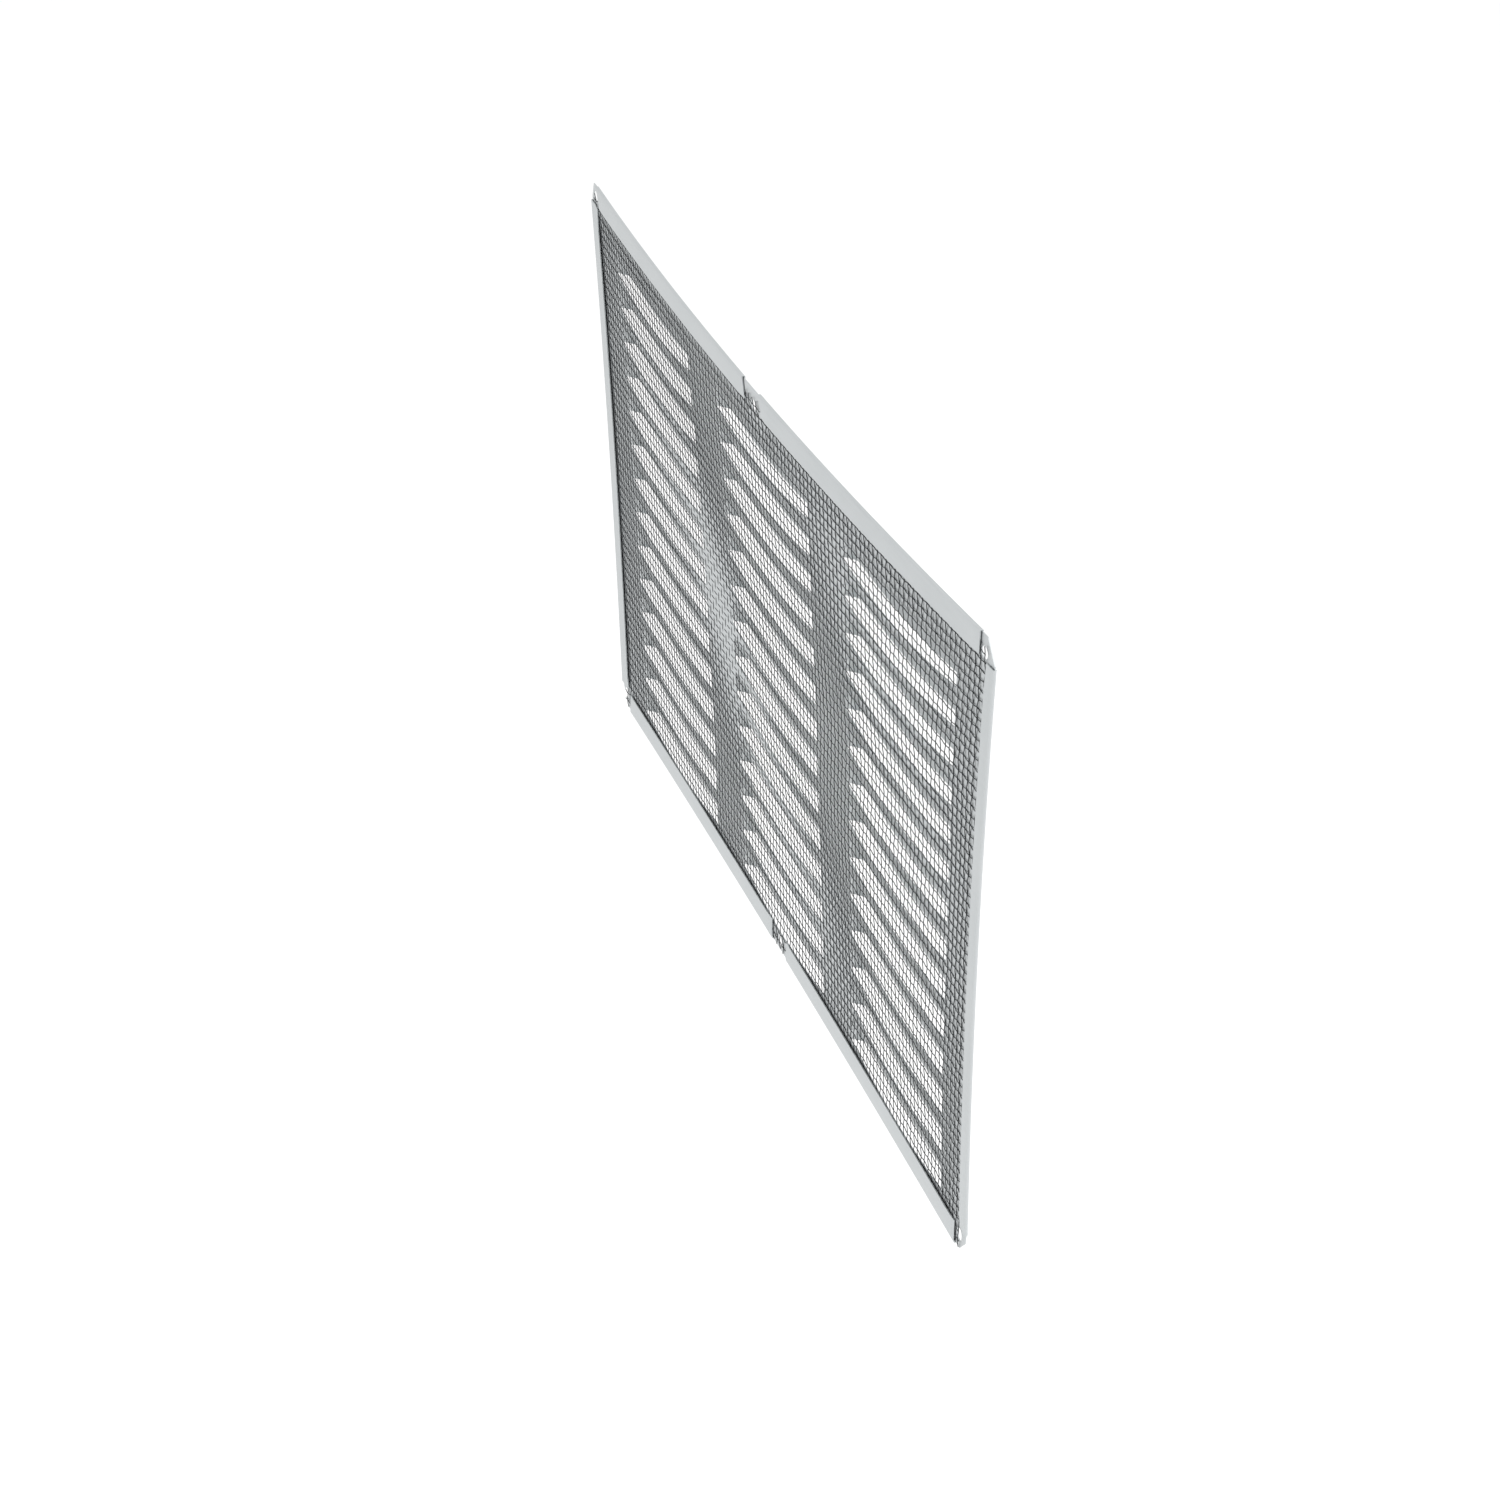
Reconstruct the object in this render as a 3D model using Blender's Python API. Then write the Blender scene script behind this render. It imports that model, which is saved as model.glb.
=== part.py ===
"""Louvred vent panel: one pressed and hemmed sheet with a woven wire screen held under its hems.

The panel stands upright as it does on a wall. X runs along its length and Z is up. The hems and the
screen face -Y, towards the wall, and the louvres stand out to +Y. The origin is the panel's centre,
on the plane that the hems seat against.
"""

import math

import bmesh
import bpy
from mathutils import Vector

MM = 0.001

# The sheet, in millimetres
LENGTH = 355.6
HEIGHT = 203.2
SHEET = 0.35
HEM_GAP = 0.5
HEM_WIDTH = {"top": 8.0, "bottom": 7.4, "left": 7.4, "right": 5.0}

# Where the hems stop short, at the corners and round the screw holes of the long edges
HEM_END_X = 168.5
HEM_END_Z = 93.2
NOTCH_LEFT = -8.0
NOTCH_RIGHT = 6.5
CORNER_CUT_X = 6.2
CORNER_CUT_Z = 8.0
CORNER_HOLE_X = 5.6
CORNER_HOLE_Z = 5.0
CORNER_HOLE_RADIUS = 1.8
NOTCH_HOLE_X = -0.2
TOP_NOTCH_HOLE_Z = 95.0
BOTTOM_NOTCH_HOLE_Z = -97.9
NOTCH_HOLE_RADIUS = 2.0

# The louvres
BANKS = 3
ROWS = 14
BANK_PITCH = 111.0
BANK_SHIFT = 1.7
ROW_PITCH = 12.93
TOP_ROW_Z = 75.55
SLIT_LENGTH = 83.4
SLIT_SAG = 2.75
SLIT_GAP = 0.9
BLADE_HEIGHT = 9.0
BLADE_DEPTH = 4.0
BLADE_CROWN = 0.4
BLADE_CURVE = 1.2
SHOULDER_LENGTH = 4.0

# The screen, as one thin sheet with the outline of the wire cloth
SCREEN_LENGTH = 351.0
SCREEN_HEIGHT = 196.6
SCREEN_CORNER = 8.5
SCREEN_THICKNESS = 0.1

# Facets
SHOULDER_STEPS = 2
SPAN_STEPS = 4
BLADE_STEPS = 2
FOLD_STEPS = 4
HOLE_SIDES = 20
WELD_DISTANCE = 0.01
FLAT_ANGLE = 0.05

# How far the cutters reach past the sheet
CUTTER_DEPTH = 0.3
CUTTER_PAST = 2.0

# The middle of the sheet's thickness, and the radius to which it is folded
SHEET_Y = HEM_GAP + 1.5 * SHEET
FOLD_RADIUS = (HEM_GAP + SHEET) / 2
HALF_LENGTH = LENGTH / 2
HALF_HEIGHT = HEIGHT / 2
FOLD_REACH = FOLD_RADIUS + SHEET / 2


def point(x, y, z):
    """A point given in millimetres."""
    return Vector((x, y, z)) * MM


def clear_scene():
    for old in list(bpy.data.objects):
        bpy.data.objects.remove(old, do_unlink=True)


def metal(name, colour, roughness):
    material = bpy.data.materials.new(name)
    material.use_nodes = True
    shader = material.node_tree.nodes["Principled BSDF"]
    shader.inputs["Base Color"].default_value = (*colour, 1.0)
    shader.inputs["Metallic"].default_value = 1.0
    shader.inputs["Roughness"].default_value = roughness
    return material


def add_object(name, mesh_data, material=None):
    mesh = bpy.data.meshes.new(name)
    mesh_data.to_mesh(mesh)
    mesh_data.free()
    piece = bpy.data.objects.new(name, mesh)
    bpy.context.collection.objects.link(piece)
    if material:
        mesh.materials.append(material)
    return piece


def bank_edges(bank):
    """The two ends of the slits in one bank."""
    centre = BANK_SHIFT + (bank - (BANKS - 1) / 2) * BANK_PITCH
    return centre - SLIT_LENGTH / 2, centre + SLIT_LENGTH / 2


def bank_at(x):
    """The slit ends of the bank that x lies in, or None."""
    for bank in range(BANKS):
        left, right = bank_edges(bank)
        if left - 1e-6 <= x <= right + 1e-6:
            return left, right
    return None


def column_lines():
    """Every x at which the sheet has a line of corners."""
    bend = HALF_LENGTH - FOLD_REACH
    lines = [-bend, -HEM_END_X, NOTCH_LEFT, NOTCH_RIGHT, HEM_END_X, bend]
    for bank in range(BANKS):
        left, right = bank_edges(bank)
        shoulder = [SHOULDER_LENGTH * step / SHOULDER_STEPS for step in range(SHOULDER_STEPS)]
        lines += [left + x for x in shoulder] + [right - x for x in shoulder]
        span = SLIT_LENGTH - 2 * SHOULDER_LENGTH
        lines += [left + SHOULDER_LENGTH + span * step / SPAN_STEPS for step in range(SPAN_STEPS + 1)]
    return sorted(lines)


def row_lines():
    """Every height at which the sheet has a line of corners."""
    bend = HALF_HEIGHT - FOLD_REACH
    lines = [-bend, -HEM_END_Z, HEM_END_Z, bend]
    for row in range(ROWS):
        cut = TOP_ROW_Z - row * ROW_PITCH
        lines.append(cut)
        for step in range(BLADE_STEPS + 1):
            lines.append(cut + SLIT_GAP + (BLADE_HEIGHT - SLIT_GAP) * step / BLADE_STEPS)
    lines.append(TOP_ROW_Z + BLADE_HEIGHT - ROWS * ROW_PITCH)
    return sorted(lines)


def pressed(z):
    """How a louvre moves the sheet at a height, as shares of its sag and of its depth.

    The share of the sag is 1 at the slit. It falls to 0 up the blade, at its fold, and down the plain
    strip below the slit, where the next blade begins.
    """
    row = math.floor((TOP_ROW_Z + BLADE_HEIGHT - z) / ROW_PITCH)
    if not 0 <= row < ROWS:
        return 0.0, 0.0
    up = z - (TOP_ROW_Z - row * ROW_PITCH)
    if up < SLIT_GAP / 2:
        return 1 + up / (ROW_PITCH - BLADE_HEIGHT), 0.0
    down = min(max((BLADE_HEIGHT - up) / (BLADE_HEIGHT - SLIT_GAP), 0.0), 1.0)
    return down, down ** BLADE_CURVE


def sheet_point(x, z):
    """Where a corner of the sheet goes once its louvre has been cut and pressed."""
    bank = bank_at(x)
    if bank is None:
        return point(x, SHEET_Y, z)
    left, right = bank
    across = (2 * x - left - right) / SLIT_LENGTH
    crown = 1 - across * across
    shoulder = math.sin(math.pi / 2 * min(1, min(x - left, right - x) / SHOULDER_LENGTH))
    depth = (BLADE_DEPTH + BLADE_CROWN * crown) * shoulder
    sag, out = pressed(z)
    return point(x, SHEET_Y + depth * out, z - SLIT_SAG * crown * sag)


def is_slit(x, z):
    middle = TOP_ROW_Z + SLIT_GAP / 2
    row = round((middle - z) / ROW_PITCH)
    inside = 0 <= row < ROWS and abs(middle - row * ROW_PITCH - z) < SLIT_GAP / 2
    return inside and bank_at(x) is not None


def hem_profile(width):
    """The fold and the flat leg of a hem, as (distance out from the bend line, y)."""
    profile = []
    for step in range(1, FOLD_STEPS + 1):
        angle = math.pi * step / FOLD_STEPS
        out = FOLD_RADIUS * math.sin(angle)
        profile.append((out, SHEET_Y - FOLD_RADIUS * (1 - math.cos(angle))))
    profile.append((FOLD_REACH - width, SHEET / 2))
    return profile


def fold_hem(mesh_data, edge, outward, width):
    """Carries one edge of the sheet round its bend and back over itself."""
    near, far = edge
    for out, y in hem_profile(width):
        corners = []
        for vertex in edge:
            place = vertex.co + outward * (out * MM)
            place.y = y * MM
            corners.append(mesh_data.verts.new(place))
        mesh_data.faces.new((near, far, corners[1], corners[0]))
        near, far = corners


def hem_edges(grid, columns, rows):
    """The edges of the sheet that are folded, each with its outward direction and hem width."""
    up, along = Vector((0, 0, 1)), Vector((1, 0, 0))
    last_column, last_row = len(columns) - 1, len(rows) - 1
    for i in range(last_column):
        middle = (columns[i] + columns[i + 1]) / 2
        if abs(middle) < HEM_END_X and not NOTCH_LEFT < middle < NOTCH_RIGHT:
            yield (grid[i, 0], grid[i + 1, 0]), -up, HEM_WIDTH["bottom"]
            yield (grid[i, last_row], grid[i + 1, last_row]), up, HEM_WIDTH["top"]
    for j in range(last_row):
        if abs(rows[j] + rows[j + 1]) / 2 < HEM_END_Z:
            yield (grid[0, j], grid[0, j + 1]), -along, HEM_WIDTH["left"]
            yield (grid[last_column, j], grid[last_column, j + 1]), along, HEM_WIDTH["right"]


def weld_strips(mesh_data):
    bmesh.ops.remove_doubles(mesh_data, verts=mesh_data.verts, dist=WELD_DISTANCE * MM)
    bmesh.ops.recalc_face_normals(mesh_data, faces=mesh_data.faces)


def pressed_sheet():
    """The middle surface of the sheet: slit, pressed into louvres and folded over at its edges."""
    mesh_data = bmesh.new()
    columns, rows = column_lines(), row_lines()
    grid = {}
    for i, x in enumerate(columns):
        for j, z in enumerate(rows):
            grid[i, j] = mesh_data.verts.new(sheet_point(x, z))
    for i in range(len(columns) - 1):
        x = (columns[i] + columns[i + 1]) / 2
        for j in range(len(rows) - 1):
            z = (rows[j] + rows[j + 1]) / 2
            if is_slit(x, z):
                continue
            corners = (grid[i, j], grid[i + 1, j], grid[i + 1, j + 1], grid[i, j + 1])
            mesh_data.faces.new(corners)
    for edge, outward, width in list(hem_edges(grid, columns, rows)):
        fold_hem(mesh_data, edge, outward, width)
    loose = [vertex for vertex in mesh_data.verts if not vertex.link_faces]
    bmesh.ops.delete(mesh_data, geom=loose, context="VERTS")
    weld_strips(mesh_data)
    return mesh_data


def prism(outline, low_y, high_y):
    """A closed prism along Y over an outline of (x, z) points."""
    mesh_data = bmesh.new()
    base = mesh_data.faces.new([mesh_data.verts.new(point(x, low_y, z)) for x, z in outline])
    pushed = bmesh.ops.extrude_face_region(mesh_data, geom=[base])["geom"]
    corners = [item for item in pushed if isinstance(item, bmesh.types.BMVert)]
    bmesh.ops.translate(mesh_data, verts=corners, vec=point(0, high_y - low_y, 0))
    bmesh.ops.recalc_face_normals(mesh_data, faces=mesh_data.faces)
    return mesh_data


def circle(x, z, radius):
    turn = [2 * math.pi * (side + 0.5) / HOLE_SIDES for side in range(HOLE_SIDES)]
    return [(x + radius * math.cos(angle), z + radius * math.sin(angle)) for angle in turn]


def corner_triangle(side_x, side_z):
    """The corner that is snipped off, drawn a little past the sheet."""
    far_x, far_z = HALF_LENGTH + CUTTER_PAST, HALF_HEIGHT + CUTTER_PAST
    slope = CORNER_CUT_Z / CORNER_CUT_X
    return [
        (side_x * far_x, side_z * far_z),
        (side_x * (HALF_LENGTH - CORNER_CUT_X - CUTTER_PAST / slope), side_z * far_z),
        (side_x * far_x, side_z * (HALF_HEIGHT - CORNER_CUT_Z - CUTTER_PAST * slope)),
    ]


def cut_away(piece, name, outline):
    """Cuts one outline through the plain sheet, clear of the hems."""
    low_y, high_y = HEM_GAP + SHEET - CUTTER_DEPTH, HEM_GAP + 2 * SHEET + CUTTER_DEPTH
    cutter = add_object(name, prism(outline, low_y, high_y))
    cutter.hide_render = True
    cutter.display_type = "WIRE"
    cut = piece.modifiers.new(name, "BOOLEAN")
    cut.operation = "DIFFERENCE"
    cut.solver = "EXACT"
    cut.object = cutter


def louvred_sheet():
    finish = metal("mill_finish_aluminium", (0.60, 0.61, 0.61), 0.45)
    sheet = add_object("louvred_sheet", pressed_sheet(), finish)
    wall = sheet.modifiers.new("sheet_thickness", "SOLIDIFY")
    wall.thickness = SHEET * MM
    wall.offset = 0.0
    wall.use_even_offset = True
    flats = sheet.modifiers.new("whole_flats", "DECIMATE")
    flats.decimate_type = "DISSOLVE"
    flats.angle_limit = math.radians(FLAT_ANGLE)
    for side_z in (-1, 1):
        for side_x in (-1, 1):
            place = f"{'top' if side_z > 0 else 'bottom'}_{'right' if side_x > 0 else 'left'}"
            cut_away(sheet, f"{place}_corner_cutter", corner_triangle(side_x, side_z))
            hole = circle(
                side_x * (HALF_LENGTH - CORNER_HOLE_X),
                side_z * (HALF_HEIGHT - CORNER_HOLE_Z),
                CORNER_HOLE_RADIUS,
            )
            cut_away(sheet, f"{place}_hole_cutter", hole)
    top_hole = circle(NOTCH_HOLE_X, TOP_NOTCH_HOLE_Z, NOTCH_HOLE_RADIUS)
    bottom_hole = circle(NOTCH_HOLE_X, BOTTOM_NOTCH_HOLE_Z, NOTCH_HOLE_RADIUS)
    cut_away(sheet, "top_notch_hole_cutter", top_hole)
    cut_away(sheet, "bottom_notch_hole_cutter", bottom_hole)
    return sheet


def wire_screen():
    """The wire cloth lies in the middle of the gap between the sheet and its hems."""
    half_x, half_z, corner = SCREEN_LENGTH / 2, SCREEN_HEIGHT / 2, SCREEN_CORNER
    quarter = [(half_x, half_z - corner), (half_x - corner, half_z)]
    outline = quarter + [(-x, z) for x, z in reversed(quarter)]
    outline += [(-x, -z) for x, z in outline]
    low_y = SHEET + (HEM_GAP - SCREEN_THICKNESS) / 2
    finish = metal("woven_wire", (0.18, 0.19, 0.20), 0.5)
    return add_object("wire_screen", prism(outline, low_y, low_y + SCREEN_THICKNESS), finish)


def main():
    clear_scene()
    louvred_sheet()
    wire_screen()


main()
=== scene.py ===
"""Looks of a louvred vent panel: one pressed, hemmed sheet and the wire cloth held under its hems.

The panel stands upright as on a wall. X runs along its length and Z is up. The hems and the wire cloth
face -Y, towards the wall, and the louvres stand out to +Y. Lengths are in millimetres until a piece
becomes a mesh.
"""

import math

import bmesh
import bpy
import numpy as np
from mathutils import Matrix, Vector


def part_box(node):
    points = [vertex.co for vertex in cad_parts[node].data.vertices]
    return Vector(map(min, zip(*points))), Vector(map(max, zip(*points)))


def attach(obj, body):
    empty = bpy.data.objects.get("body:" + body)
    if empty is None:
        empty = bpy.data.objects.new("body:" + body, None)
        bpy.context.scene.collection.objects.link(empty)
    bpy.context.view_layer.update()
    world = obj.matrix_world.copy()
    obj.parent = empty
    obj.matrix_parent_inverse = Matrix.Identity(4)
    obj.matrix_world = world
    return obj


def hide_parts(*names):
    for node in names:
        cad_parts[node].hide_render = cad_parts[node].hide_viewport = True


MM = 0.001

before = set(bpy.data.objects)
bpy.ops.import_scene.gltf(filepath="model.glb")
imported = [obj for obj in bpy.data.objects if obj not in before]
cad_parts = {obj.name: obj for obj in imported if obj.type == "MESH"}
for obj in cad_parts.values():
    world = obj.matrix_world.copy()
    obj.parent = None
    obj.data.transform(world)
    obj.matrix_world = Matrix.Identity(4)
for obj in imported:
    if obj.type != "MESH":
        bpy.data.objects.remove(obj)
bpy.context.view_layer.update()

# Driving sizes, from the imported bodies
SHEET_LOW, SHEET_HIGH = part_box("louvred_sheet")
SCREEN_LOW, SCREEN_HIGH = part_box("wire_screen")
HALF_LENGTH = (SHEET_HIGH.x - SHEET_LOW.x) / MM / 2
HALF_HEIGHT = (SHEET_HIGH.z - SHEET_LOW.z) / MM / 2
SCREEN_Y = (SCREEN_LOW.y + SCREEN_HIGH.y) / MM / 2

# The sheet and its hems. Each hem has its own width, and its free end is trimmed aslant and pinched.
SHEET = 0.35
HEM_GAP = 2 * (SCREEN_Y - SHEET)
SHEET_Y = HEM_GAP + 1.5 * SHEET
FOLD_RADIUS = (HEM_GAP + SHEET) / 2
FOLD_REACH = FOLD_RADIUS + SHEET / 2
HEM_WIDTH = {"top": 8.0, "bottom": 7.4, "left": 7.4, "right": 5.0}
HEM_END_X = 168.5
HEM_END_Z = 93.2
HEM_END_SLANT = 0.3
SIDE_SLANT_SHARE = 0.3
END_CRIMP = 0.3
END_CRIMP_LENGTH = 5.0
NOTCH_LEFT = -8.0
NOTCH_RIGHT = 6.5

# Each corner as it was snipped, and the screw hole punched in it: the signs of its x and z,
# the size of the cut along x and z, and the centre of the hole
CORNERS = {
    "top_left": (-1, 1, 5.0, 8.0, -172.2, 96.6),
    "top_right": (1, 1, 5.8, 8.4, 170.8, 95.4),
    "bottom_left": (-1, -1, 5.8, 9.0, -173.6, -96.2),
    "bottom_right": (1, -1, 6.4, 5.9, 172.1, -96.2),
}
CORNER_HOLE_RADIUS = 2.0
NOTCH_HOLE_X = -0.2
TOP_NOTCH_HOLE_Z = 95.0
BOTTOM_NOTCH_HOLE_Z = -97.9
NOTCH_HOLE_RADIUS = 2.0

# The tabs that the hems leave at the corners and in the notches spring back towards the wall
TAB_SPRING = 0.5
TAB_EASE = 4.0

# The louvres
BANKS = 3
ROWS = 14
BANK_PITCH = 111.0
BANK_SHIFT = 1.7
ROW_PITCH = 12.93
TOP_ROW_Z = 75.55
SLIT_LENGTH = 83.4
SLIT_SAG = 2.75
SLIT_GAP = 0.9
BLADE_HEIGHT = 9.0
BLADE_DEPTH = 4.0
BLADE_CROWN = 0.4
SHOULDER_LENGTH = 4.0
TOP_ROW_DEPTH = 0.92
FOLD_ROUNDING = 0.14

# Facets of the sheet, the cutters' reach past it, and the angle from which an edge is sharp
BLADE_STEPS = 9
BLADE_SPREAD = 0.8
SHOULDER_STEP = 0.7
SPAN_STEP = 2.2
STRIP_STEP = 4.0
CLOSEST_LINES = 0.05
FOLD_STEPS = 10
HOLE_SIDES = 32
WELD_DISTANCE = 0.01
CUTTER_PAST = 2.0
SHEET_SHARP_ANGLE = math.radians(35)
NEARLY_ZERO = 1e-6

# The wire cloth: 8 wires to the inch both ways, cut back at the corners to clear the screws
WIRE = 0.28
WIRE_CRIMP = 0.10
WIRE_PITCH = 25.4 / 8
LONG_WIRES = 62
CROSS_WIRES = 110
TOP_WIRE_Z = 95.6
RIGHT_WIRE_X = 175.0
CLOTH_MARGIN = 1.1
WIRE_SIDES = 6
WIRE_SHARP_ANGLE = math.radians(70)
CLOTH_CORNER_X = 173.7
CLOTH_CORNER_Z = 93.4
CLOTH_SEED = 8

# How a wire wanders from straight: its size, and the lengths of its waves
LONG_WIRE_WANDER = (0.12, (23, 41, 87))
CROSS_WIRE_WANDER = (0.15, (19, 37, 71))

# How the whole cloth is pulled along and up, and how it bows between the hems. Each wave has its
# size, the lengths over which its angle turns one radian along x and z, and its angle at the centre.
CLOTH_PULL_ALONG = ((1.0, 110, 15, 0.0), (0.5, -70, 8, 1.0))
CLOTH_PULL_UP = ((0.35, 47, 70, 2.0), (0.15, 19, -50, 0.0))
CLOTH_BOW = ((0.35, 37, 29, 0.0),)
CLOTH_HELD = 9.0
PULL_FADE_POWER = 4

# How far the thin panel is out of true, as sizes of smooth bends and twists
TWIST = -3.14
BELLY_ALONG = 2.32
BELLY_UP = 0.14
BELLY_BOTH = -1.42
TOP_BOW = 3.73
END_BOW = 0.79
TOP_PULL = -0.42
BOTTOM_PULL = -0.14
LEFT_PULL = 0.48
RIGHT_PULL = 1.19
ROW_LIFT = 1.72

# The stage and the view, in metres
FLOOR_HALF_SIZE = 6.0
FLOOR_DROP = 0.5
SOFTBOX_SIZE = 1.2
CAMERA_PLACE = (1.1168, -0.3783, 0.6478)
CAMERA_TARGET = (-0.0255, 0.0007, -0.0397)
CAMERA_ROLL = math.radians(-0.777)
CAMERA_LENS = 102.66


def out_of_true(points):
    """Bends points on the flat panel the way the pressed sheet has sprung, as an array in mm."""
    x, y, z = points.T
    u, v = x / HALF_LENGTH, z / HALF_HEIGHT
    along, up = 1 - u * u, 1 - v * v
    back = TWIST * u * v + BELLY_ALONG * along + BELLY_UP * up + BELLY_BOTH * along * up
    back += TOP_BOW * v * along + END_BOW * u * up
    lift = ROW_LIFT * up - (TOP_PULL * (1 + v) - BOTTOM_PULL * (1 - v)) / 2 * along
    slide = -(RIGHT_PULL * (1 + u) - LEFT_PULL * (1 - u)) / 2 * up
    return np.column_stack([x + slide, y - back, z + lift])


def camera_at(place, target, roll, lens):
    """The view: from beside and above the screen side, along the panel."""
    camera = bpy.data.objects.new("camera", bpy.data.cameras.new("camera"))
    bpy.context.collection.objects.link(camera)
    camera.data.lens = lens
    camera.data.sensor_width = 36.0
    camera.data.clip_start = 0.01
    back = (Vector(place) - Vector(target)).to_track_quat("Z", "Y").to_matrix().to_4x4()
    camera.matrix_world = Matrix.Translation(place) @ back @ Matrix.Rotation(roll, 4, "Z")
    bpy.context.scene.camera = camera


def linear(hex_colour):
    """An sRGB hex colour as linear RGBA."""
    parts = [int(hex_colour[i:i + 2], 16) / 255 for i in (1, 3, 5)]
    return [p / 12.92 if p <= 0.04045 else ((p + 0.055) / 1.055) ** 2.4 for p in parts] + [1.0]


def add_node(tree, kind, settings=None, inputs=None, links=None):
    """Adds a node, sets its properties and input values, and links inputs from (node, output) pairs."""
    node = tree.nodes.new(kind)
    for name, value in (settings or {}).items():
        setattr(node, name, value)
    for name, value in (inputs or {}).items():
        node.inputs[name].default_value = value
    for name, (source, output) in (links or {}).items():
        tree.links.new(source.outputs[output], node.inputs[name])
    return node


def per_metre(size_mm):
    """The texture scale that gives features of about that size."""
    return 1 / (size_mm * MM)


def new_material(name):
    material = bpy.data.materials.new(name)
    material.use_nodes = True
    return material, material.node_tree, material.node_tree.nodes["Principled BSDF"]


def mill_rolled_aluminium():
    """Bare aluminium sheet as it leaves the rolls: a dull even grey with fine streaks along the
    rolling direction, faint cloudy stains and a slightly uneven gloss."""
    material, tree, shader = new_material("mill_rolled_aluminium")
    place = add_node(tree, "ShaderNodeTexCoord")
    streak_place = add_node(
        tree, "ShaderNodeMapping",
        inputs={"Scale": (per_metre(40), per_metre(0.8), per_metre(0.8))},
        links={"Vector": (place, "Object")},
    )
    streaks = add_node(
        tree, "ShaderNodeTexNoise",
        inputs={"Scale": 1.0, "Detail": 4.0, "Roughness": 0.6},
        links={"Vector": (streak_place, "Vector")},
    )
    clouds = add_node(
        tree, "ShaderNodeTexNoise",
        inputs={"Scale": per_metre(28), "Detail": 3.0, "Roughness": 0.55},
        links={"Vector": (place, "Object")},
    )
    tone = add_node(
        tree, "ShaderNodeMix",
        settings={"data_type": "FLOAT"},
        inputs={"Factor": 0.45},
        links={"A": (clouds, "Fac"), "B": (streaks, "Fac")},
    )
    colour = add_node(
        tree, "ShaderNodeValToRGB",
        links={"Fac": (tone, "Result")},
    )
    colour.color_ramp.elements[0].position = 0.3
    colour.color_ramp.elements[0].color = linear("#bdc1c2")
    colour.color_ramp.elements[1].position = 0.7
    colour.color_ramp.elements[1].color = linear("#c8cbcc")
    gloss = add_node(
        tree, "ShaderNodeMapRange",
        inputs={"From Min": 0.3, "From Max": 0.7, "To Min": 0.40, "To Max": 0.52},
        links={"Value": (tone, "Result")},
    )
    bump = add_node(
        tree, "ShaderNodeBump",
        inputs={"Strength": 0.25, "Distance": 0.02 * MM},
        links={"Height": (streaks, "Fac")},
    )
    shader.inputs["Metallic"].default_value = 1.0
    tree.links.new(colour.outputs["Color"], shader.inputs["Base Color"])
    tree.links.new(gloss.outputs["Result"], shader.inputs["Roughness"])
    tree.links.new(bump.outputs["Normal"], shader.inputs["Normal"])
    return material


def drawn_wire():
    """Drawn wire that has weathered: a dark dull oxide over the metal, with a soft grey glint."""
    material, tree, shader = new_material("drawn_dull_wire")
    place = add_node(tree, "ShaderNodeTexCoord")
    patches = add_node(
        tree, "ShaderNodeTexNoise",
        inputs={"Scale": per_metre(6), "Detail": 3.0, "Roughness": 0.6},
        links={"Vector": (place, "Object")},
    )
    colour = add_node(tree, "ShaderNodeValToRGB", links={"Fac": (patches, "Fac")})
    colour.color_ramp.elements[0].position = 0.35
    colour.color_ramp.elements[0].color = linear("#24272a")
    colour.color_ramp.elements[1].position = 0.65
    colour.color_ramp.elements[1].color = linear("#333638")
    shader.inputs["Metallic"].default_value = 0.3
    shader.inputs["Roughness"].default_value = 0.6
    tree.links.new(colour.outputs["Color"], shader.inputs["Base Color"])
    return material


def point(x, y, z):
    """A point given in millimetres."""
    return Vector((x, y, z)) * MM


def bank_edges(bank):
    """The two ends of the slits in one bank."""
    centre = BANK_SHIFT + (bank - (BANKS - 1) / 2) * BANK_PITCH
    return centre - SLIT_LENGTH / 2, centre + SLIT_LENGTH / 2


def bank_at(x):
    """The slit ends of the bank that x lies in, or None."""
    for bank in range(BANKS):
        left, right = bank_edges(bank)
        if left - NEARLY_ZERO <= x <= right + NEARLY_ZERO:
            return left, right
    return None


def spread(low, high, step):
    """Evenly spaced numbers from low to high, both included."""
    return list(np.linspace(low, high, max(2, round((high - low) / step) + 1)))


def column_lines():
    """Every x at which the sheet has a line of corners."""
    bend = HALF_LENGTH - FOLD_REACH
    kept = [-bend, -HEM_END_X, NOTCH_LEFT, NOTCH_RIGHT, HEM_END_X, bend]
    lines = []
    for bank in range(BANKS):
        left, right = bank_edges(bank)
        lines += spread(left, left + SHOULDER_LENGTH, SHOULDER_STEP)
        lines += spread(left + SHOULDER_LENGTH, right - SHOULDER_LENGTH, SPAN_STEP)
        lines += spread(right - SHOULDER_LENGTH, right, SHOULDER_STEP)
    edges = [edge for bank in range(BANKS) for edge in bank_edges(bank)]
    strips = [-HEM_END_X] + edges + [HEM_END_X]
    for left, right in zip(strips[::2], strips[1::2]):
        lines += spread(left, right, STRIP_STEP)
    for x in sorted(lines):
        if all(abs(x - other) > CLOSEST_LINES for other in kept):
            kept.append(x)
    return sorted(kept)


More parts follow.
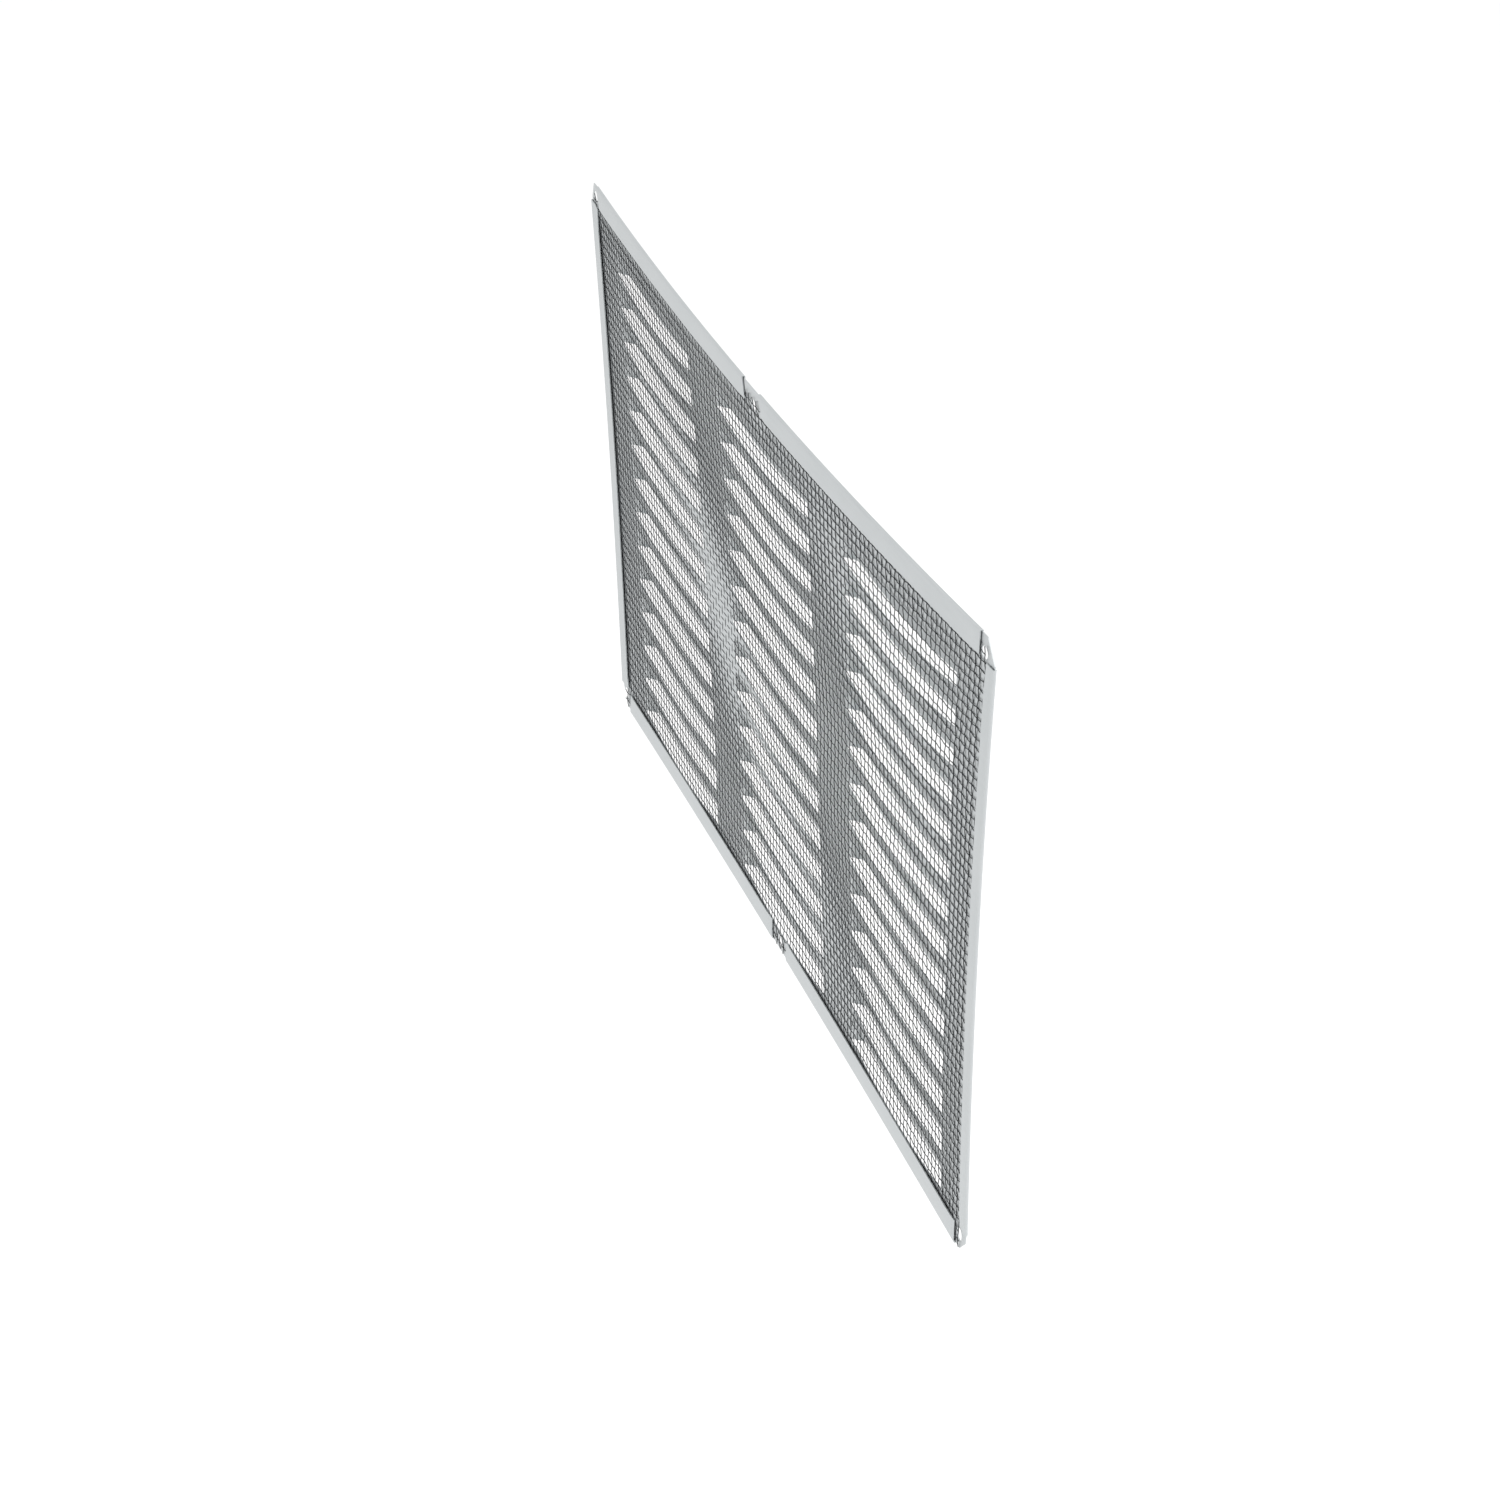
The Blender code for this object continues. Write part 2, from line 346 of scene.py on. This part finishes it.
def row_lines():
    """Every height at which the sheet has a line of corners."""
    bend = HALF_HEIGHT - FOLD_REACH
    lines = [-bend, -HEM_END_Z, HEM_END_Z, bend]
    for row in range(ROWS):
        cut = TOP_ROW_Z - row * ROW_PITCH
        lines.append(cut)
        for step in range(BLADE_STEPS + 1):
            up = (step / BLADE_STEPS) ** BLADE_SPREAD
            lines.append(cut + SLIT_GAP + (BLADE_HEIGHT - SLIT_GAP) * up)
    lines.append(TOP_ROW_Z + BLADE_HEIGHT - ROWS * ROW_PITCH)
    return sorted(lines)


def pressed_depth(down):
    """How far a blade stands out, from 0 at its fold to 1 at its lip: rounded, then straight."""
    rounding = FOLD_ROUNDING
    return (math.hypot(down, rounding) - rounding) / (math.hypot(1, rounding) - rounding)


def pressed(z):
    """How a louvre moves the sheet at a height, as shares of its sag and of its depth.

    The share of the sag is 1 at the slit. It falls to 0 up the blade, at its fold, and down the plain
    strip below the slit, where the next blade begins.
    """
    row = math.floor((TOP_ROW_Z + BLADE_HEIGHT - z) / ROW_PITCH)
    if not 0 <= row < ROWS:
        return 0.0, 0.0
    up = z - (TOP_ROW_Z - row * ROW_PITCH)
    if up < SLIT_GAP / 2:
        return 1 + up / (ROW_PITCH - BLADE_HEIGHT), 0.0
    down = min(max((BLADE_HEIGHT - up) / (BLADE_HEIGHT - SLIT_GAP), 0.0), 1.0)
    depth = pressed_depth(down)
    return down, depth * TOP_ROW_DEPTH if row == 0 else depth


def tab_spring(x, z):
    """How far the tabs at the corners and in the notches stand off the flat sheet, to the wall."""
    past_z = np.clip((abs(z) - HEM_END_Z) / TAB_EASE + 0.5, 0, 1)
    past_x = np.clip((abs(x) - HEM_END_X) / TAB_EASE + 0.5, 0, 1)
    in_notch = (x > NOTCH_LEFT) & (x < NOTCH_RIGHT)
    return TAB_SPRING * past_z * np.maximum(past_x, in_notch)


def sheet_point(x, z):
    """Where a corner of the sheet goes once its louvre has been cut and pressed."""
    bank = bank_at(x)
    flat_y = SHEET_Y - tab_spring(x, z)
    if bank is None:
        return point(x, flat_y, z)
    left, right = bank
    across = (2 * x - left - right) / SLIT_LENGTH
    crown = 1 - across * across
    shoulder = math.sin(math.pi / 2 * min(1, max(0, min(x - left, right - x)) / SHOULDER_LENGTH))
    depth = (BLADE_DEPTH + BLADE_CROWN * crown) * shoulder
    sag, out = pressed(z)
    return point(x, flat_y + depth * out, z - SLIT_SAG * crown * sag)


def is_slit(x, z):
    middle = TOP_ROW_Z + SLIT_GAP / 2
    row = round((middle - z) / ROW_PITCH)
    inside = 0 <= row < ROWS and abs(middle - row * ROW_PITCH - z) < SLIT_GAP / 2
    return inside and bank_at(x) is not None


def hem_profile(width):
    """The fold and the flat leg of a hem, as (distance out from the bend line, y)."""
    profile = []
    for step in range(1, FOLD_STEPS + 1):
        angle = math.pi * step / FOLD_STEPS
        out = FOLD_RADIUS * math.sin(angle)
        profile.append((out, SHEET_Y - FOLD_RADIUS * (1 - math.cos(angle))))
    for share in (0.5, 1.0):
        profile.append((share * (FOLD_REACH - width), SHEET / 2))
    return profile


def fold_hem(mesh_data, edge, outward, width):
    """Carries one edge of the sheet round its bend and back over itself."""
    near, far = edge
    for out, y in hem_profile(width):
        corners = []
        for vertex in edge:
            place = vertex.co + outward * (out * MM)
            place.y = y * MM
            if out < 0:
                share = out / (FOLD_REACH - width)
                place += end_of_hem(vertex.co, outward) * (HEM_END_SLANT * share * MM)
                place.y += END_CRIMP * end_pinch(vertex.co, outward) * share * MM
            corners.append(mesh_data.verts.new(place))
        mesh_data.faces.new((near, far, corners[1], corners[0]))
        near, far = corners


def end_of_hem(place, outward):
    """The direction in which a hem's end is trimmed back from its corner, or nothing mid-hem."""
    if outward.z and abs(abs(place.x) - HEM_END_X * MM) < NEARLY_ZERO:
        return Vector((-math.copysign(1, place.x), 0, 0))
    if outward.x and abs(abs(place.z) - HEM_END_Z * MM) < NEARLY_ZERO:
        return Vector((0, 0, -math.copysign(SIDE_SLANT_SHARE, place.z)))
    return Vector()


def end_pinch(place, outward):
    """How hard a hem is pinched at a point of it, from 1 at its ends to 0 further in."""
    x, z = place.x / MM, place.z / MM
    if outward.x:
        inward = HEM_END_Z - abs(z)
    else:
        inward = min(HEM_END_X - abs(x), max(NOTCH_LEFT - x, x - NOTCH_RIGHT))
    return min(1, max(0, 1 - inward / END_CRIMP_LENGTH))


def hem_edges(grid, columns, rows):
    """The edges of the sheet that are folded, each with its outward direction and hem width."""
    up, along = Vector((0, 0, 1)), Vector((1, 0, 0))
    last_column, last_row = len(columns) - 1, len(rows) - 1
    for i in range(last_column):
        middle = (columns[i] + columns[i + 1]) / 2
        if abs(middle) < HEM_END_X and not NOTCH_LEFT < middle < NOTCH_RIGHT:
            yield (grid[i, 0], grid[i + 1, 0]), -up, HEM_WIDTH["bottom"]
            yield (grid[i, last_row], grid[i + 1, last_row]), up, HEM_WIDTH["top"]
    for j in range(last_row):
        if abs(rows[j] + rows[j + 1]) / 2 < HEM_END_Z:
            yield (grid[0, j], grid[0, j + 1]), -along, HEM_WIDTH["left"]
            yield (grid[last_column, j], grid[last_column, j + 1]), along, HEM_WIDTH["right"]


def pressed_sheet():
    """The middle surface of the sheet: slit, pressed into louvres and folded over at its edges."""
    mesh_data = bmesh.new()
    columns, rows = column_lines(), row_lines()
    grid = {}
    for i, x in enumerate(columns):
        for j, z in enumerate(rows):
            grid[i, j] = mesh_data.verts.new(sheet_point(x, z))
    for i in range(len(columns) - 1):
        x = (columns[i] + columns[i + 1]) / 2
        for j in range(len(rows) - 1):
            z = (rows[j] + rows[j + 1]) / 2
            if is_slit(x, z):
                continue
            corners = (grid[i, j], grid[i + 1, j], grid[i + 1, j + 1], grid[i, j + 1])
            mesh_data.faces.new(corners)
    for edge, outward, width in list(hem_edges(grid, columns, rows)):
        fold_hem(mesh_data, edge, outward, width)
    loose = [vertex for vertex in mesh_data.verts if not vertex.link_faces]
    bmesh.ops.delete(mesh_data, geom=loose, context="VERTS")
    bmesh.ops.remove_doubles(mesh_data, verts=mesh_data.verts, dist=WELD_DISTANCE * MM)
    bmesh.ops.recalc_face_normals(mesh_data, faces=mesh_data.faces)
    return mesh_data


def add_object(name, mesh_data):
    mesh = bpy.data.meshes.new(name)
    mesh_data.to_mesh(mesh)
    mesh_data.free()
    piece = bpy.data.objects.new(name, mesh)
    bpy.context.collection.objects.link(piece)
    return piece


def prism(outline, low_y, high_y):
    """A closed prism along Y over an outline of (x, z) points."""
    mesh_data = bmesh.new()
    base = mesh_data.faces.new([mesh_data.verts.new(point(x, low_y, z)) for x, z in outline])
    pushed = bmesh.ops.extrude_face_region(mesh_data, geom=[base])["geom"]
    corners = [item for item in pushed if isinstance(item, bmesh.types.BMVert)]
    bmesh.ops.translate(mesh_data, verts=corners, vec=point(0, high_y - low_y, 0))
    bmesh.ops.recalc_face_normals(mesh_data, faces=mesh_data.faces)
    return mesh_data


def circle(x, z, radius):
    turn = [2 * math.pi * (side + 0.5) / HOLE_SIDES for side in range(HOLE_SIDES)]
    return [(x + radius * math.cos(angle), z + radius * math.sin(angle)) for angle in turn]


def corner_triangle(side_x, side_z, cut_x, cut_z):
    """The corner that is snipped off, drawn a little past the sheet."""
    far_x, far_z = HALF_LENGTH + CUTTER_PAST, HALF_HEIGHT + CUTTER_PAST
    slope = cut_z / cut_x
    return [
        (side_x * far_x, side_z * far_z),
        (side_x * (HALF_LENGTH - cut_x - CUTTER_PAST / slope), side_z * far_z),
        (side_x * far_x, side_z * (HALF_HEIGHT - cut_z - CUTTER_PAST * slope)),
    ]


def sheet_cutters():
    """The outlines that are snipped or punched out of the flat sheet, clear of the hems."""
    for side_x, side_z, cut_x, cut_z, hole_x, hole_z in CORNERS.values():
        yield corner_triangle(side_x, side_z, cut_x, cut_z)
        yield circle(hole_x, hole_z, CORNER_HOLE_RADIUS)
    for hole_z in (TOP_NOTCH_HOLE_Z, BOTTOM_NOTCH_HOLE_Z):
        yield circle(NOTCH_HOLE_X, hole_z, NOTCH_HOLE_RADIUS)


def bake_modifiers(piece):
    """Gives the piece its evaluated mesh in place of its modifiers."""
    seen = piece.evaluated_get(bpy.context.evaluated_depsgraph_get())
    mesh = bpy.data.meshes.new_from_object(seen)
    piece.modifiers.clear()
    piece.data = mesh
    mesh.name = piece.name


def spring_out_of_true(mesh):
    """Moves a mesh of the flat panel to where the panel has sprung."""
    places = np.empty(len(mesh.vertices) * 3)
    mesh.vertices.foreach_get("co", places)
    moved = out_of_true(places.reshape(-1, 3) / MM) * MM
    mesh.vertices.foreach_set("co", moved.ravel())
    mesh.update()


def louvred_sheet():
    """The one pressed sheet: given its thickness, then snipped, punched and sprung."""
    low_y, high_y = SHEET_Y - SHEET - TAB_SPRING, SHEET_Y + 2 * SHEET
    sheet = add_object("pressed_sheet", pressed_sheet())
    wall = sheet.modifiers.new("sheet_thickness", "SOLIDIFY")
    wall.thickness = SHEET * MM
    wall.offset = 0.0
    wall.use_even_offset = True
    cutters = []
    for outline in sheet_cutters():
        cutter = add_object("cutter", prism(outline, low_y, high_y))
        cut = sheet.modifiers.new("cut", "BOOLEAN")
        cut.operation = "DIFFERENCE"
        cut.solver = "EXACT"
        cut.object = cutter
        cutters.append(cutter)
    bake_modifiers(sheet)
    for cutter in cutters:
        bpy.data.objects.remove(cutter, do_unlink=True)
    spring_out_of_true(sheet.data)
    sheet.data.shade_smooth()
    sheet.data.set_sharp_from_angle(angle=SHEET_SHARP_ANGLE)
    sheet.data.materials.clear()
    sheet.data.materials.append(mill_rolled_aluminium())
    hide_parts("louvred_sheet")
    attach(sheet, "root")


def wander(random, places, size_and_lengths):
    """A smooth random wave along a wire."""
    size, lengths = size_and_lengths
    wave = np.zeros_like(places)
    for length in lengths:
        wave += np.sin(2 * math.pi * places / length + random.uniform(0, 2 * math.pi))
    return wave * size / len(lengths)


def waves(parts, x, z):
    """The sum of plane waves over the panel."""
    return sum(size * np.sin(x / along + z / up + start) for size, along, up, start in parts)


def cloth_bow(x, z):
    """How far the cloth is off the middle of the hem gap: above 0 to the wall, below 0 to the sheet."""
    free_x = np.clip(1 - (x / (HALF_LENGTH - CLOTH_HELD)) ** 2, 0, None)
    free_z = np.clip(1 - (z / (HALF_HEIGHT - CLOTH_HELD)) ** 2, 0, None)
    return np.sqrt(free_x * free_z) * waves(CLOTH_BOW, x, z)


def tubes(name, lines, crosswise):
    """One mesh of round wires. Each line is an array of points, and crosswise spans their section."""
    corners, faces = [], []
    turn = 2 * math.pi * (np.arange(WIRE_SIDES) + 0.5) / WIRE_SIDES
    ring = WIRE / 2 * (np.outer(np.cos(turn), (0, 1, 0)) + np.outer(np.sin(turn), crosswise))
    start = 0
    for line in lines:
        corners.append((line[:, None, :] + ring[None, :, :]).reshape(-1, 3))
        count = len(line)
        first = start + WIRE_SIDES * np.arange(count - 1)[:, None]
        side = np.arange(WIRE_SIDES)[None, :]
        after = (side + 1) % WIRE_SIDES
        walls = np.stack([first + side, first + after, first + WIRE_SIDES + after,
                          first + WIRE_SIDES + side], axis=-1)
        faces += walls.reshape(-1, 4).tolist()
        faces.append([start + k for k in reversed(range(WIRE_SIDES))])
        faces.append([start + (count - 1) * WIRE_SIDES + k for k in range(WIRE_SIDES)])
        start += count * WIRE_SIDES
    mesh = bpy.data.meshes.new(name)
    mesh.from_pydata((np.concatenate(corners) * MM).tolist(), [], faces)
    spring_out_of_true(mesh)
    mesh_data = bmesh.new()
    mesh_data.from_mesh(mesh)
    bmesh.ops.recalc_face_normals(mesh_data, faces=mesh_data.faces)
    mesh_data.to_mesh(mesh)
    mesh_data.free()
    mesh.shade_smooth()
    mesh.set_sharp_from_angle(angle=WIRE_SHARP_ANGLE)
    piece = bpy.data.objects.new(name, mesh)
    bpy.context.collection.objects.link(piece)
    return piece


def in_outline(x, z):
    """True inside the folds, less the corners that were cut out for the screws."""
    within = abs(x) < HALF_LENGTH - CLOTH_MARGIN and abs(z) < HALF_HEIGHT - CLOTH_MARGIN
    return within and (abs(x) < CLOTH_CORNER_X or abs(z) < CLOTH_CORNER_Z)


def woven_line(random, index, fixed, lengthwise):
    """The centre line of one wire, over and under the wires it crosses.

    Its points lie a quarter of a pitch to each side of every crossing, so a wire runs level over
    each wire that it crosses and slopes between them.
    """
    count = CROSS_WIRES if lengthwise else LONG_WIRES
    steps = np.arange(-0.75, count, 0.5)
    flip = 1 if lengthwise else -1
    over = flip * np.where((np.round(steps).astype(int) + index) % 2 == 0, 1.0, -1.0)
    if lengthwise:
        x = RIGHT_WIRE_X - WIRE_PITCH * steps
        z = fixed + wander(random, x, LONG_WIRE_WANDER)
    else:
        z = TOP_WIRE_Z - WIRE_PITCH * steps
        x = fixed + wander(random, z, CROSS_WIRE_WANDER)
    along, up = waves(CLOTH_PULL_ALONG, x, z), waves(CLOTH_PULL_UP, x, z)
    near_edge = np.maximum(abs(x) / HALF_LENGTH, abs(z) / HALF_HEIGHT)
    free = np.clip(1 - near_edge ** PULL_FADE_POWER, 0, 1)
    x, z = x + along * free, z + up * free
    y = SCREEN_Y + over * WIRE_CRIMP - cloth_bow(x, z) - tab_spring(x, z)
    return np.column_stack([x, y, z])


def woven_wires(random, count, first, lengthwise):
    """The centre lines of all the wires that run one way, each cut to the outline of the cloth."""
    lines = []
    for k in range(count):
        line = woven_line(random, k, first - WIRE_PITCH * k, lengthwise)
        lines.append(np.array([p for p in line if in_outline(p[0], p[2])]))
    return lines


def wire_cloth():
    """The plain weave: long wires and cross wires, each lot one mesh."""
    random = np.random.default_rng(CLOTH_SEED)
    finish = drawn_wire()
    long_lines = woven_wires(random, LONG_WIRES, TOP_WIRE_Z, True)
    cross_lines = woven_wires(random, CROSS_WIRES, RIGHT_WIRE_X, False)
    pieces = [
        tubes("long_wires", long_lines, (0, 0, 1)),
        tubes("cross_wires", cross_lines, (1, 0, 0)),
    ]
    for piece in pieces:
        piece.data.materials.append(finish)
        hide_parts("wire_screen")
        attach(piece, "root")


def studio():
    """A pale floor well below the panel, a bright even room and two soft lights."""
    mesh_data = bmesh.new()
    bmesh.ops.create_grid(mesh_data, x_segments=1, y_segments=1, size=FLOOR_HALF_SIZE)
    floor = add_object("floor", mesh_data)
    floor.location.z = SHEET_LOW.z - FLOOR_DROP
    material, _, shader = new_material("pale_floor")
    shader.inputs["Base Color"].default_value = linear("#f4f4f4")
    shader.inputs["Roughness"].default_value = 0.9
    floor.data.materials.append(material)
    world = bpy.data.worlds.new("room")
    bpy.context.scene.world = world
    world.use_nodes = True
    world.node_tree.nodes["Background"].inputs["Color"].default_value = linear("#ffffff")
    world.node_tree.nodes["Background"].inputs["Strength"].default_value = 1.05
    soft_light("louvre_side_softbox", (0.9, 1.3, 1.0), 18)
    soft_light("screen_side_softbox", (0.6, -1.6, 1.3), 10)
    bpy.context.scene.view_settings.view_transform = "Standard"


def soft_light(name, place, power):
    """A square light at a place in metres, turned to face the panel."""
    light = bpy.data.lights.new(name, "AREA")
    light.size = SOFTBOX_SIZE
    light.energy = power
    lamp = bpy.data.objects.new(name, light)
    bpy.context.collection.objects.link(lamp)
    lamp.location = place
    lamp.rotation_euler = Vector(place).to_track_quat("Z", "Y").to_euler()


camera_at(CAMERA_PLACE, CAMERA_TARGET, CAMERA_ROLL, CAMERA_LENS)
louvred_sheet()
wire_cloth()
studio()
